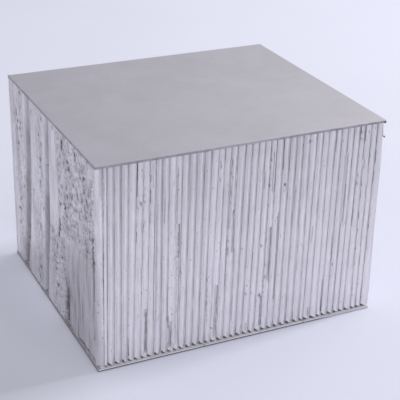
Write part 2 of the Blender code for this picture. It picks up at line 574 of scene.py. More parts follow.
# The bottom edge's dark spot colour also fills its fracture band: fracture zone with painted contact shadow,
# taller at the left edge as painted shade.
BOTTOM_EDGE_FINISH = SheetFinish(
    name="bottom_sheared_edge", light=(0.94, 0.92, 0.96), dull=(0.80, 0.78, 0.83), spot=(0.13, 0.125, 0.14),
    roughness=(0.45, 0.60), metallic=0.50, cloud_scale=120.0, grain_scale=(900.0, 900.0, 5000.0),
    fleck_cover=0.14, relief=0.03 * MM, fracture_and_shade_top=0.50 * MM, fracture_and_shade_left=1.1 * MM,
    rubbed=(0.70, 0.68, 0.72))
# The burr's near-black colour, darker than the top edge, is painted shade.
BURR_FINISH = replace(
    TOP_EDGE_FINISH, name="burred_corner", light=(0.17, 0.16, 0.18), dull=(0.09, 0.09, 0.10))
GLUE_FINISH = SheetFinish(
    name="set_adhesive", light=(0.88, 0.88, 0.95), dull=(0.70, 0.70, 0.76), spot=(0.26, 0.25, 0.27),
    roughness=(0.45, 0.62), metallic=0.15, cloud_scale=240.0, grain_scale=(700.0, 700.0, 700.0),
    fleck_cover=0.18, relief=0.06 * MM)


class FoilWork:
    """Sheets of foil that become one piece with the foil's thickness."""

    def __init__(self) -> None:
        """Start without any sheet."""
        self.bm = bmesh.new()
        self.shade_and_wear = self.bm.verts.layers.float.new(SHADE_AND_WEAR)

    def add_sheet(self, columns: int, rows: int, place: Callable[[float, float], Placed],
                  torn: Callable[[float, float], bool] | None = None) -> None:
        """Add one sheet.

        Args:
            columns: Faces across the sheet.
            rows: Faces along it.
            place: Gives the point and the grime for shares across and along the sheet.
            torn: Says whether the foil is missing at shares across and along the sheet.
        """
        grid = bmesh.ops.create_grid(self.bm, x_segments=columns, y_segments=rows, size=0.5)
        verts = grid["verts"]
        if torn is not None:
            missing = []
            for face in {face for vert in verts for face in vert.link_faces}:
                middle = face.calc_center_median()
                if torn(middle.x + 0.5, middle.y + 0.5):
                    missing.append(face)
            bmesh.ops.delete(self.bm, geom=missing, context="FACES")
            verts = [vert for vert in verts if vert.is_valid]
        for vert in verts:
            vert.co, vert[self.shade_and_wear] = place(vert.co.x + 0.5, vert.co.y + 0.5)

    def finish(self, name: str, thickness: float, materials: list[bpy.types.Material]
               ) -> bpy.types.Object:
        """Give the sheets their thickness and make them one object.

        Args:
            name: Name of the piece.
            thickness: Thickness of the sheets.
            materials: Its materials, of which the last one is for the cut edges.

        Returns:
            The object, at the origin.
        """
        mesh = bpy.data.meshes.new(name + "_sheet")
        self.bm.to_mesh(mesh)
        self.bm.free()
        for material in materials:
            mesh.materials.append(material)
        piece = new_object(name, mesh)
        solidify = piece.modifiers.new("thickness", "SOLIDIFY")
        solidify.thickness = thickness
        solidify.offset = 0
        solidify.material_offset_rim = len(materials) - 1
        freeze(piece, FOIL_SHARP)
        return piece


def freeze(piece: bpy.types.Object, sharp: float) -> None:
    """Make a piece's modifiers part of its mesh, which stays sharp at edges above an angle."""
    evaluated = piece.evaluated_get(bpy.context.evaluated_depsgraph_get())
    made = bpy.data.meshes.new_from_object(evaluated)
    made.name = piece.name
    piece.modifiers.clear()
    piece.data = made
    made.shade_smooth()
    made.set_sharp_from_angle(angle=sharp)


def ride_on(piece: bpy.types.Object) -> None:
    """Let a piece ride on the panel."""
    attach(piece, BODY)


def stand_for(piece: bpy.types.Object, node: str) -> None:
    """Let a piece ride on the panel and stand for its node."""
    ride_on(piece)
    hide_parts(node)


@dataclass(frozen=True)
class OpeningMm:
    """Foil torn out of a flute, between two shares across and two heights."""

    left: float
    right: float
    low: float
    high: float
    ragged: float = 0.03

    def limits(self, height: float, seed: float) -> tuple[float, float]:
        """Return the torn borders' shares across at a height in millimetres."""
        left = self.left + self.ragged * wander(height * 0.7, 1.3, seed) if self.left > 0 else -1.0
        right = self.right + self.ragged * wander(height * 0.6, 8.1, seed) if self.right < 1 else 2.0
        return left, right


@dataclass(frozen=True)
class RecessMm:
    """Foil pushed in, between two shares across and two heights."""

    left: float
    right: float
    low: float
    high: float
    deep: float = 0.45
    ragged: float = 0.04

    def limits(self, height: float, seed: float) -> tuple[float, float]:
        """Return the borders' shares across at a height in millimetres."""
        left = self.left + self.ragged * wander(height * 0.7, 1.3, seed + 3.0)
        right = self.right + self.ragged * wander(height * 0.6, 8.1, seed + 3.0)
        return left, right


@dataclass(frozen=True)
class PitMm:
    """A small dent or hole, at a share across and a height."""

    across: float
    height: float
    size: float = 0.5


@dataclass(frozen=True)
class CreaseMm:
    """A narrow groove that runs up a flute."""

    across: float
    low: float
    high: float
    deep: float = 0.30
    slant: float = 0.0


@dataclass(frozen=True)
class RaggedMm:
    """A stretch of free edge that the saw left in teeth."""

    low: float
    high: float
    reach: float


@dataclass(frozen=True)
class Marks:
    """How one flute was bent and torn. The crown is 1 when crisp and 0 when flat."""

    crown: float = 1.0
    worn: float = 0.0
    notch: float = 2.0
    openings: tuple[OpeningMm, ...] = ()
    recesses: tuple[RecessMm, ...] = ()
    pits: tuple[PitMm, ...] = ()
    creases: tuple[CreaseMm, ...] = ()
    ragged: tuple[RaggedMm, ...] = ()


def marked(crown: float = 1.0, worn: float = 0.0, **rows: tuple[tuple[float, ...], ...]) -> Marks:
    """Make a flute's marks from rows of numbers.

    Args:
        crown: How crisp its crown is.
        worn: How uneven it is.
        **rows: For each field of Marks, one row of the class's values for each mark.

    Returns:
        The marks.
    """
    made = {name: tuple(MARK_KINDS[name](*row) for row in group) for name, group in rows.items()}
    return Marks(crown, worn, **made)


MARK_KINDS = {"openings": OpeningMm, "recesses": RecessMm, "pits": PitMm, "creases": CreaseMm,
              "ragged": RaggedMm}

# Marks of the front flutes by ribbon. Each row gives the values of its kind of mark in order.
FRONT_MARKS = {
    2: marked(0.8, openings=((0.0, 0.05, 93.5, 98.8), (0.0, 0.06, 3.0, 15.0)),
             recesses=((-0.2, 0.25, 86.0, 92.0, 0.3),), pits=((0.08, 82.3, 0.5),),
             ragged=((40.0, 83.0, 0.10),)),
    3: marked(1.0, creases=((0.55, 88.0, 88.6, 0.2, 0.6),)),
    4: marked(1.1),
    5: marked(1.1, creases=((0.55, 3.0, 6.0, 0.3, 0.7),)),
    6: marked(0.6, 0.2, openings=((0.0, 0.08, 3.0, 12.9, 0.05),)),
    7: marked(0.7, 0.3, openings=((0.0, 0.09, 82.9, 98.9), (0.0, 0.06, 60.7, 66.4)),
             pits=((0.62, 79.5, 0.66), (0.76, 78.4, 0.6), (0.8, 94.8), (0.8, 92.0, 0.45)),
             ragged=((66.0, 82.0, 0.10),)),
    8: marked(0.4, 0.8, recesses=((0.48, 0.92, 3.8, 26.0, 0.55),),
             creases=((0.47, 23.5, 26.0, 0.5), (0.70, 4.0, 24.0, 0.5)),
             pits=((0.2, 86.0, 0.5), (0.3, 80.0, 0.5), (0.25, 70.0, 0.5)),
             ragged=((50.0, 98.6, 0.15),)),
    9: marked(0.75, 0.3, creases=((0.80, 20.0, 78.0, 0.45), (0.4, 86.0, 97.0, 0.25)),
             ragged=((60.0, 95.0, 0.16),)),
    10: marked(1.0, recesses=((-0.2, 0.16, 20.0, 78.6, 0.35, 0.08),),
              creases=((0.35, 19.0, 22.0, 0.3, 0.5),), ragged=((20.0, 78.0, 0.10),)),
    11: marked(1.1, creases=((0.24, 68.0, 80.0, 0.35), (0.2, 28.0, 30.0, 0.3, 0.4))),
    12: marked(0.4, 0.7, recesses=((0.05, 0.70, 3.6, 17.0, 0.5, 0.16),),
              openings=((0.0, 0.11, 14.0, 20.5, 0.06),),
              creases=((0.35, 4.0, 15.0, 0.4), (0.60, 4.0, 12.0, 0.4)),
              pits=((0.7, 21.0, 0.6), (0.5, 24.0), (0.6, 86.0, 0.5))),
    13: marked(0.5, 0.6, openings=((0.46, 0.54, 50.0, 66.4),),
              recesses=((-0.2, 0.40, 5.0, 48.0, 0.3, 0.12), (0.1, 0.44, 50.0, 66.0, 0.2)),
              creases=((0.22, 50.0, 93.0, 0.4), (0.68, 5.0, 66.0, 0.5)),
              pits=((0.3, 90.0, 0.5), (0.35, 83.0, 0.5)), ragged=((5.0, 93.0, 0.18),)),
    14: marked(1.15),
    15: marked(1.1, creases=((0.06, 70.0, 84.0, 0.5),)),
    16: marked(1.1),
    17: marked(1.1),
    18: marked(0.55, 0.4, pits=tuple((0.08, height, 0.62) for height in (13.5, 16.0, 18.5, 22.5, 25.5, 30.0)),
              ragged=((13.0, 34.0, 0.22),)),
    19: marked(0.45, 0.5, recesses=((0.38, 0.84, 3.8, 30.7, 0.5),),
              creases=((0.36, 4.0, 30.7, 0.45), (0.62, 5.0, 24.0, 0.3)),
              pits=((0.22, 92.3, 0.7), (0.30, 90.2, 0.8), (0.22, 84.2, 0.7))),
    20: marked(1.1, creases=((0.88, 30.0, 54.3, 0.6),)),
    21: marked(0.7, 0.5, recesses=((0.45, 0.85, 47.0, 67.0, 0.45, 0.07),),
              creases=((0.70, 67.0, 93.0, 0.5), (0.2, 60.0, 92.0, 0.3)),
              pits=((0.78, 67.4, 0.8), (0.25, 84.2, 0.6)), ragged=((46.0, 92.0, 0.18),)),
    22: marked(1.1, creases=((0.1, 10.0, 48.0, 0.4),)),
    23: marked(1.0, recesses=((0.6, 0.95, 3.6, 5.6, 0.5),)),
    24: marked(0.8, 0.2, recesses=((0.35, 0.75, 3.4, 5.0, 0.4),),
              pits=((0.2, 23.0, 0.6), (0.3, 27.5, 0.5), (0.5, 6.6, 0.6))),
    25: marked(0.9, 0.2, pits=((0.1, 22.9, 0.6), (0.7, 5.5, 0.6))),
    26: marked(0.75, 0.4, recesses=((0.50, 1.0, 3.8, 19.5, 0.5, 0.12),),
              creases=((0.08, 76.0, 83.5, 0.5), (0.75, 5.0, 17.0, 0.4)),
              pits=((0.18, 47.0, 0.8), (0.45, 20.8, 0.9), (0.7, 19.4, 0.6))),
    27: marked(0.7, 0.6, recesses=((0.42, 0.86, 28.6, 55.0, 0.5),),
              creases=((0.45, 74.0, 93.0, 0.45), (0.90, 72.0, 93.0, 0.5),
                       (0.42, 29.0, 54.0, 0.45), (0.86, 27.0, 55.0, 0.45)),
              pits=((0.6, 54.8, 0.8), (0.2, 30.0, 0.6), (0.5, 88.0, 0.5)),
              ragged=((20.0, 95.0, 0.16),)),
    28: marked(0.8, 0.3, recesses=((0.62, 1.0, 16.4, 61.4, 0.45, 0.06),),
              creases=((0.62, 40.0, 61.0, 0.4),), pits=((0.6, 60.0, 0.7),)),
    29: marked(1.0, openings=((0.0, 0.035, 83.6, 98.8),),
              pits=((0.42, 76.0, 0.85), (0.55, 73.6, 0.55), (0.3, 73.0, 0.45))),
    30: marked(1.05),
    31: marked(1.0, creases=((0.06, 62.0, 73.5, 0.6),), pits=((0.9, 93.6, 0.6),)),
    32: marked(0.9, 0.2, creases=((0.05, 30.0, 52.0, 0.45),), pits=((0.85, 95.0, 0.75),)),
    33: marked(0.6, 0.3, pits=((0.1, 95.5, 0.5),)),
    34: marked(0.8, 0.3, recesses=((0.40, 0.70, 3.6, 7.0),), creases=((0.3, 44.0, 52.0, 0.35),)),
    35: marked(0.5, 0.3, pits=((0.4, 82.0, 0.45), (0.2, 84.5, 0.4))),
    36: marked(0.5, 0.4, recesses=((0.60, 1.0, 3.8, 20.7, 0.5, 0.08),),
              creases=((0.62, 5.0, 20.5, 0.4),)),
    37: marked(0.65, 0.3, openings=((0.04, 0.11, 87.9, 99.0),),
              creases=((0.85, 31.0, 45.0, 0.6, -0.25),)),
    38: marked(0.85, 0.2),
    39: marked(0.65, 0.3, recesses=((-0.2, 0.26, 50.7, 85.7, 0.35, 0.06),),
              creases=((0.55, 48.8, 51.2, 0.45, 0.5), (0.26, 50.7, 70.0, 0.35))),
    40: marked(0.55, 0.3, creases=((0.95, 48.0, 72.0, 0.4),)),
    41: marked(0.6, 0.4, openings=((0.0, 0.07, 91.5, 98.8, 0.06),), ragged=((48.0, 91.0, 0.12),),
              pits=((0.35, 92.5, 0.6), (0.3, 95.5, 0.5), (0.1, 74.0, 0.8), (0.1, 70.0, 0.7))),
    42: marked(0.5, 0.7, openings=((0.0, 0.06, 91.0, 98.6),),
              ragged=((7.9, 74.0, 0.18),),
              pits=((0.5, 95.7, 0.6), (0.08, 80.5, 0.9), (0.08, 78.5, 0.8), (0.2, 9.0, 0.6))),
    43: marked(0.55, 0.5, creases=((0.05, 68.0, 76.0, 0.6),), ragged=((45.0, 98.6, 0.12),),
              pits=((0.5, 97.0, 0.55),)),
    44: marked(0.75, 0.3, ragged=((30.0, 90.0, 0.10),)),
}


def front_marks(number: int) -> Marks:
    """Return the marks of a flute of the front face."""
    return FRONT_MARKS.get(number, Marks())


def back_marks(number: int) -> Marks:
    """Choose plain saw marks for a flute of the back face, the same ones at every run."""
    draw = random.Random(number * 17)
    crown = draw.uniform(0.6, 1.1)
    worn = draw.uniform(0.1, 0.6)
    notch = draw.uniform(1.6, 2.1)
    low = draw.uniform(5.0, 70.0)
    ragged = (RaggedMm(low, low + draw.uniform(10.0, 28.0), draw.uniform(0.05, 0.22)),)
    openings = ()
    if draw.random() < 0.4:
        start = draw.uniform(4.0, 80.0)
        openings = (OpeningMm(0.0, draw.uniform(0.15, 0.35), start, start + draw.uniform(5.0, 15.0), 0.06),)
    return Marks(crown, worn, notch, openings=openings, ragged=ragged)


def valley_depth(marks_of: Callable[[int], Marks], number: int) -> float:
    """Work out how deep the valley between two flutes is: crisp flutes stand between deep ones.

    Args:
        marks_of: Gives the marks of a flute by its number.
        number: The flute on the valley's left.

    Returns:
        Depth behind the face in metres.
    """
    if number == 1:
        return CORNER_VALLEY
    if number == FLUTED_RIBBONS[-1]:
        return LAST_VALLEY
    crown = (marks_of(number).crown + marks_of(number + 1).crown) / 2
    return mix(SHALLOW_VALLEY, DEEP_VALLEY, min(1.0, max(0.0, (crown - 0.4) / 0.7)))


def wave(share: float) -> float:
    """Return the fall of a rounded fold from its crown, 0 at share 0 and 1 at share 1."""
    return 0.5 - 0.5 * math.cos(math.pi * min(1.0, max(0.0, share)))


@dataclass(frozen=True)
class BentEdge:
    """The strip along a ribbon's end that the saw bent over, which shows as one flute.

    Past its root, at a share of 1, the foil laps on behind the next flute before it turns inwards.
    """

    layout: CoreLayout
    number: int
    side: Side
    marks: Marks
    next_marks: Marks
    edge_depth: float
    root_depth: float
    columns: int
    rows: int

    def sides(self, height: float) -> tuple[float, float]:
        """Return the X of the whole free edge and of the root at a height."""
        free = self.layout.line(self.number - 1, height, self.side) - OVERLAP
        return free, self.layout.line(self.number, height, self.side)

    def width(self) -> float:
        """Return the flute's width half-way up."""
        free, root = self.sides((self.layout.bottom + self.layout.top) / 2)
        return root - free

    def span(self) -> float:
        """Return the share across at the end of the lap."""
        room = self.layout.right - self.layout.root(self.number)
        return 1.0 + min(LAP, max(0.05 * MM, room)) / self.width()

    def smear(self, height_mm: float) -> float:
        """Return how far the flute is crushed flat near the top, as some are on the front face."""
        if self.side is Side.BACK:
            return 0.0
        crushed = smooth(*CRUSHED_FROM, self.number) * smooth(*CRUSHED_TO, self.number)
        return crushed * smooth(*CRUSHED_HEIGHT_MM, height_mm)

    def depth(self, across: float, height_mm: float) -> float:
        """Return how far the foil lies behind the face's plane."""
        if across > 1.0:
            return self.root_depth + LAP_DEPTH * min(1.0, (across - 1.0) * 4.0)
        if across < CROWN_PLACE:
            crisp = self.edge_depth * wave((CROWN_PLACE - across) / CROWN_PLACE)
        else:
            crisp = self.root_depth * wave((across - CROWN_PLACE) / (1.0 - CROWN_PLACE))
        flat = FLATTENED + (self.root_depth - FLATTENED) * smooth(0.70, 1.0, across)
        flat += (self.edge_depth - FLATTENED) * smooth(0.20, 0.0, across)
        crushed = self.smear(height_mm)
        crown = self.marks.crown * (1.0 - 0.8 * crushed)
        seed = float(self.number)
        crown = min(1.0, crown * (1.0 + 0.12 * wander(height_mm * 0.035, 3.3, seed)))
        result = mix(flat, crisp, crown)
        inner = smooth(0.0, 0.12, across) * smooth(1.0, 0.88, across)
        result += 0.06 * MM * wander(across * 2.0, height_mm * 0.10, seed)
        worn = max(self.marks.worn, 0.8 * crushed)
        result += 0.22 * MM * worn * inner * wander(across * 3.5, height_mm * 0.30, seed + 40.0)
        result += 0.16 * MM * worn * inner * wander(across * 7.0, height_mm * 0.8, seed + 80.0)
        return max(0.0, result)

    def tooth(self, height_mm: float) -> float:
        """Return how far the free edge is bitten back, as a share of the width."""
        seed = float(self.number)
        back = 0.02 + 0.02 * wander(height_mm * 0.25, 5.0, seed)
        for stretch in self.marks.ragged:
            inside = band(stretch.low, stretch.high, 1.5, height_mm)
            teeth = smooth(-0.05, 0.40, wander(height_mm * 0.50, 2.0, seed + 9.0))
            back += 0.75 * stretch.reach * inside * teeth
        return back

    def groove(self, across: float, height_mm: float) -> tuple[float, float]:
        """Return the depth of the creases and pits at a place and that of the recesses, in mm."""
        deepest = 0.0
        width_mm = self.width() / MM
        for crease in self.marks.creases:
            off = abs(across - self.crease_middle(crease, height_mm)) * width_mm
            inside = band(crease.low, crease.high, 0.8, height_mm)
            deepest = max(deepest, crease.deep * inside * smooth(0.30, 0.03, off))
        for pit in self.marks.pits:
            off = math.hypot((across - pit.across) * width_mm, (height_mm - pit.height) * 0.7)
            deepest = max(deepest, 0.9 * pit.size * smooth(pit.size, pit.size * 0.25, off))
        pushed = 0.0
        for recess in self.marks.recesses:
            left, right = recess.limits(height_mm, float(self.number))
            if left + 0.01 < across < right - 0.01:
                inside = band(recess.low, recess.high, 0.5, height_mm)
                rim = smooth(0.08, 0.0, min(across - left, right - across))
                pushed = max(pushed, recess.deep * inside)
                deepest = max(deepest, 0.30 * rim * inside)
        return deepest, pushed

    def crease_middle(self, crease: CreaseMm, height_mm: float) -> float:
        """Return a crease's share across at a height."""
        along = (height_mm - crease.low) / (crease.high - crease.low)
        wave = 0.02 * wander(height_mm * 0.4, 0.0, crease.low)
        return crease.across + crease.slant * (along - 0.5) + wave

    def snapped(self, across: float, height_mm: float) -> tuple[float, float]:
        """Move a grid point on to a torn border or a crease that passes close by.

        Args:
            across: Share across the flute.
            height_mm: Height in millimetres.

        Returns:
            The share and the height to use.
        """
        near_across = 0.5 * self.span() / self.columns
        near_height = 0.5 * (self.layout.top - self.layout.bottom) / MM / self.rows
        seed = float(self.number)
        for opening in self.marks.openings + self.marks.recesses:
            left, right = opening.limits(height_mm, seed)
            if left - near_across < across < right + near_across:
                for limit in (opening.low, opening.high):
                    if abs(height_mm - limit) < near_height:
                        height_mm = limit
            if opening.low - near_height < height_mm < opening.high + near_height:
                for limit in (left, right):
                    if abs(across - limit) < near_across:
                        across = limit
        for crease in self.marks.creases:
            if crease.low < height_mm < crease.high:
                middle = self.crease_middle(crease, height_mm)
                if abs(across - middle) < near_across:
                    across = middle
        return across, height_mm

    def is_torn(self, share: float, along: float) -> bool:
        """Say whether the foil is missing at shares across and along the grid."""
        across = share * self.span()
        height_mm = mix(self.layout.bottom, self.layout.top, along) / MM
        if across > 1.0:
            in_slot = any(opening.left <= 0.0 and opening.low < height_mm < opening.high
                          for opening in self.next_marks.openings)
            return in_slot or height_mm < self.layout.bottom / MM + 0.8 * self.next_marks.notch
        for opening in self.marks.openings:
            left, right = opening.limits(height_mm, float(self.number))
            if opening.low < height_mm < opening.high and left < across < right:
                return True
        return any(
            pit.size > 0.65 and math.hypot((across - pit.across) * self.width() / MM,
                                           (height_mm - pit.height) * 0.7) < 0.36 * pit.size
            for pit in self.marks.pits)

    def stretched(self, across: float, height_mm: float) -> tuple[float, float]:
        """Bring the flute's two ends to the skins, with its notch at the bottom.

        Args:
            across: Share across the flute.
            height_mm: Height in millimetres.

        Returns:
            The height in millimetres, and how near to the bottom end it is, from 0 to 1.
        """
        free = max(0.0, 1.0 - across)
        bottom_mm, top_mm = self.layout.bottom / MM, self.layout.top / MM
        notch = self.marks.notch * free ** 1.5 + 0.12 * wander(across * 5.0, 0.0, self.number + 3.0)
        chip = 0.45 * free * max(0.0, 0.3 + wander(self.number * 1.7, 4.0, 1.0))
        low_mm = bottom_mm - END_REACH / MM - 0.05 + max(0.0, notch)
        high_mm = top_mm + END_REACH / MM - chip
        share = (height_mm - bottom_mm) / (top_mm - bottom_mm)
        near_bottom = smooth(0.06, 0.0, share)
        height_mm = mix(height_mm, low_mm + (height_mm - bottom_mm), near_bottom)
        return mix(height_mm, high_mm, smooth(0.97, 1.0, share)), near_bottom

    def place(self, share: float, along: float) -> Placed:
        """Put a grid point on the bent foil.

        Args:
            share: Share across the grid, from the free edge to the end of the lap.
            along: Share of the way up the core.

        Returns:
            The point and its grime.
        """
        height_mm = mix(self.layout.bottom, self.layout.top, along) / MM
        across, height_mm = self.snapped(share * self.span(), height_mm)
        height_mm, near_bottom = self.stretched(across, height_mm)
        free = max(0.0, 1.0 - across)
        kept = across if free == 0.0 else 1.0 - free * (1.0 - self.tooth(height_mm))
        cut, pushed = self.groove(kept, height_mm)
        depth = self.depth(kept, height_mm) + (cut + pushed) * MM - 0.10 * MM * near_bottom * free
        height = height_mm * MM
        edge, root = self.sides(height)
        x = mix(edge, root, kept)
        x += 0.10 * MM * free * wander(height_mm * 0.12, 6.0, self.number + 20.0)
        if self.side is Side.FRONT:
            y = self.layout.front + depth
        else:
            y = self.layout.back - depth
        # Painted shade in the valley by the root and under the free edge, less on a flattened flute. The
        # flutes are darker towards the top, on crushed flutes and from about flute 24 on. Painted shade also
        # falls in creases, pits, recess rims and pushed-in recesses.
        shade_and_soil = 0.09 * smooth(0.60, 1.0, kept) + 0.07 * smooth(0.26, 0.0, across)
        shade_and_soil = shade_and_soil * min(1.0, self.marks.crown) + 0.12 * smooth(40.0, 100.0, height_mm)
        shade_and_soil += 0.10 * self.smear(height_mm)
        if self.side is Side.FRONT:
            shade_and_soil += 0.06 * smooth(24.0, 42.0, self.number)
        return Vector((x, y, height)), min(1.0, shade_and_soil + 0.95 * cut + 0.40 * pushed)


@dataclass(frozen=True)
class RibbonBody:
    """The corrugated length of a ribbon between its two bent edges."""

    layout: CoreLayout
    number: int
    left_reach: float
    right_reach: float
    front_depth: float
    back_depth: float

    def place(self, along: float, up: float) -> Placed:
        """Put a grid point on the wave.

        Args:
            along: Share of the way from the front root to the back root.
            up: Share of the way up the core.

        Returns:
            The point and its grime.
        """
        layout = self.layout
        height = mix(layout.bottom - GLUE_FOOT, layout.top + GLUE_GRIP, up)
        turn = 2.0 * math.pi * along * WAVES_ALONG_RIBBON
        swing = max(-1.0, min(1.0, 1.55 * math.sin(turn)))
        swing = 1.5 * swing - 0.5 * swing ** 3
        if self.number % 2 == 0:
            swing = -swing
        reach = self.right_reach if swing > 0 else self.left_reach
        drift = layout.drift(self.number, height) * smooth(0.25, 0.0, along)
        crumple = wander(along * 30.0, height / MM * 0.08, float(self.number))
        x = layout.root(self.number) + drift + swing * reach
        if self.number != FLUTED_RIBBONS[-1]:
            x += 0.06 * MM * crumple
        y = mix(layout.front + self.front_depth, layout.back - self.back_depth, along)
        # Painted shade on the wave inside the core, deeper near the glue, a little uneven where the foil
        # crumples.
        near_glue = smooth(5.0 * MM, 3.0 * MM, height)
        return Vector((x, y, height)), min(1.0, 0.25 + 0.1 * crumple + 0.75 * near_glue)


@dataclass(frozen=True)
class ValleyMm:
    """A leaning valley of the outer ribbon: where it is at the top, its lean from there and its form."""

    top: float
    lean: float
    floor: float
    slope: float
    deep: float
    low: float = -20.0
    high: float = 120.0
    soft: float = 8.0
    bulge: float = 0.0
    curve: float = 1.5

    def depth(self, along: float, height: float) -> float:
        """Return the valley's depth in millimetres at a place."""
        down = min(1.0, max(0.0, 1.0 - height / 100.0))
        middle = self.top + self.lean * down ** self.curve + 0.3 * wander(height * 0.06, 2.0, self.top)
        half = self.floor / 2 * (1.0 + 0.2 * wander(height * 0.05, 6.0, self.top))
        half += self.bulge / 2 * math.sin(math.pi * down) ** 2
        across = smooth(half + self.slope, half * 0.7, abs(along - middle))
        return self.deep * across * band(self.low, self.high, self.soft, height)


@dataclass(frozen=True)
class DentMm:
    """A small torn dent of the outer ribbon, with its height, its depth and half its width."""

    along: float
    height: float
    tall: float
    deep: float
    half: float = 1.0

    def depth(self, along: float, height: float) -> float:
        """Return the dent's depth in millimetres at a place."""
        across = abs(along - self.along) / self.half
        up = 2.0 * abs(height - self.height) / self.tall
        return self.deep * smooth(1.0, 0.3, max(across, up))


@dataclass(frozen=True)
class PatchMm:
    """An area of the outer ribbon, from the front and from the underside."""

    front: float
    back: float
    low: float
    high: float
    soft: float
    strength: float = 1.0

    def cover(self, along: float, height: float) -> float:
        """Return the strength inside the patch, easing to 0 around a wandering border."""
        shift = 2.5 * wander(along * 0.15, height * 0.15, self.front)
        return (self.strength * band(self.front, self.back, self.soft, along + shift)
                * band(self.low, self.high, self.soft, height + shift))


@dataclass(frozen=True)
class OuterRelief:
    """Everything that shapes one outer face, in millimetres behind its plane."""

    valleys: tuple[ValleyMm, ...]
    slots: tuple[ValleyMm, ...]
    dents: tuple[DentMm, ...]
    ridges: tuple[DentMm, ...]
    bark: tuple[PatchMm, ...]
    streaks: tuple[PatchMm, ...]
    bridges: tuple[PatchMm, ...]

    @staticmethod
    def bark_depth(along: float, height: float) -> float:
        """Return the depth of torn, lumpy foil."""
        place = Vector((along * 0.48, height * 0.30, 4.0))
        lumps = noise.turbulence(place * 1.6, 3, False)
        pits = smooth(0.08, 0.34, wander(along * 0.62, height * 0.36, 12.0))
        small = smooth(0.04, 0.34, wander(along * 1.10, height * 0.66, 31.0))
        return 0.30 * lumps + 0.32 * pits + 0.48 * small + 0.04

    def depth(self, along: float, height: float) -> tuple[float, float]:
        """Return the depth and the grime at a place.

        Args:
            along: Distance from the front face.
            height: Height above the underside.

        Returns:
            The depth in millimetres, and the grime from 0 to 1.
        """
        bridged = 1.0
        for bridge in self.bridges:
            bridged *= 1.0 - 0.8 * bridge.cover(along, height)
        hollow = 0.0
        for valley in self.valleys:
            hollow = max(hollow, valley.depth(along, height) * bridged)
        pits = max(mark.depth(along, height) for mark in self.slots + self.dents)
        ridge = max(mark.depth(along, height) for mark in self.ridges)
        bark = max(patch.cover(along, height) for patch in self.bark)
        streaked = max(patch.cover(along, height) for patch in self.streaks)
        torn = self.bark_depth(along, height) if bark > 0.0 else 0.0
        drawn = 0.24 + 0.44 * wander(along * 0.55, height * 0.035, 21.0)
        drawn += 0.34 * wander(along * 1.25, height * 0.06, 22.0)
        swell = 0.12 + 0.16 * wander(along * 0.06, height * 0.05, 1.0)
        ripple = 0.07 * wander(along * 0.8, height * 0.16, 51.0)
        ripple += 0.03 * wander(along * 1.9, height * 0.9, 52.0)
        relief = hollow + pits + bark * torn + streaked * drawn + swell + ripple - 0.35 * ridge
        # Painted shade in the valleys, slots, dents and the torn bark's pits. The drawn streaks and some
        # patches are darker. Painted shade also falls low on the streaked part and at the back corner. Ridges
        # get less.
        shade_and_wear = 0.40 * smooth(0.2, 1.2, hollow) + 1.00 * smooth(0.04, 0.40, pits)
        shade_and_wear += 0.66 * bark * smooth(0.38, 0.85, torn)
        shade_and_wear += streaked * (0.06 + 0.50 * smooth(0.20, 0.65, drawn))
        shade_and_wear += 0.26 * streaked ** 2 * smooth(45.0, 10.0, height) * smooth(4.0, 28.0, along)
        shade_and_wear += 0.16 * smooth(-0.1, 0.4, wander(along * 0.22, height * 0.06, 60.0))
        shade_and_wear += 0.35 * smooth(119.5, 122.5, along)
        return max(0.0, relief), min(1.0, max(0.0, shade_and_wear * (1.0 - ridge)))


def rows_of(kind: type, rows: tuple[tuple[float, ...], ...]) -> tuple:
    """Return one mark of a kind for each row of its values."""
    return tuple(kind(*row) for row in rows)


